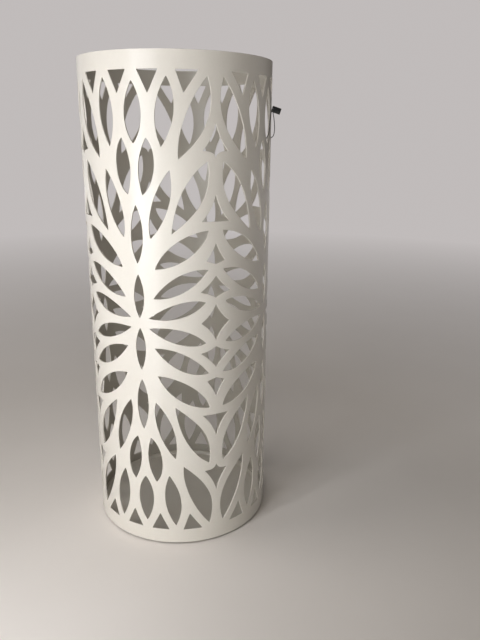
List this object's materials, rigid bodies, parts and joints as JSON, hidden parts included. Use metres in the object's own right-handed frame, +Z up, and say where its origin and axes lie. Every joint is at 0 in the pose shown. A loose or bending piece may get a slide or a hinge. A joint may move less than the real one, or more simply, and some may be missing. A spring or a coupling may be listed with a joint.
{
  "type": "umbrella stand",
  "caption": "Tall round umbrella stand: metal sleeve pierced with a leaf pattern, on a shallow base pan with rubber feet and a lift-out drip tray.",
  "frame": {"origin": "on the floor, at the centre of the sleeve's foot", "axes": "+Z up along the tube; -Y, +X, +Y and -X pass through the upright axes of the pattern's cells"},
  "size_m": [0.1991, 0.195, 0.497],
  "materials": {
    "sleeve_paint": "satin cream powder coat",
    "base_paint": "satin cream powder coat",
    "tray_paint": "satin beige powder coat",
    "foot_rubber": "matte black rubber",
    "loop_plastic": "smooth black nylon",
    "seal_plastic": "smooth black plastic"
  },
  "bodies": {
    "stand": {"sleeve": "sleeve_paint", "base_plate": "base_paint", "foot_1": "foot_rubber", "foot_2": "foot_rubber", "foot_3": "foot_rubber", "foot_4": "foot_rubber", "tag_loop": "loop_plastic", "tag_seal": "seal_plastic"},
    "tray": {"drip_tray": "tray_paint"}
  },
  "joints": [
    {"name": "tray_lift", "type": "slide", "parent": "stand", "child": "tray", "axis": [0, 0, 1], "range_m": [0, 0.5]}
  ]
}
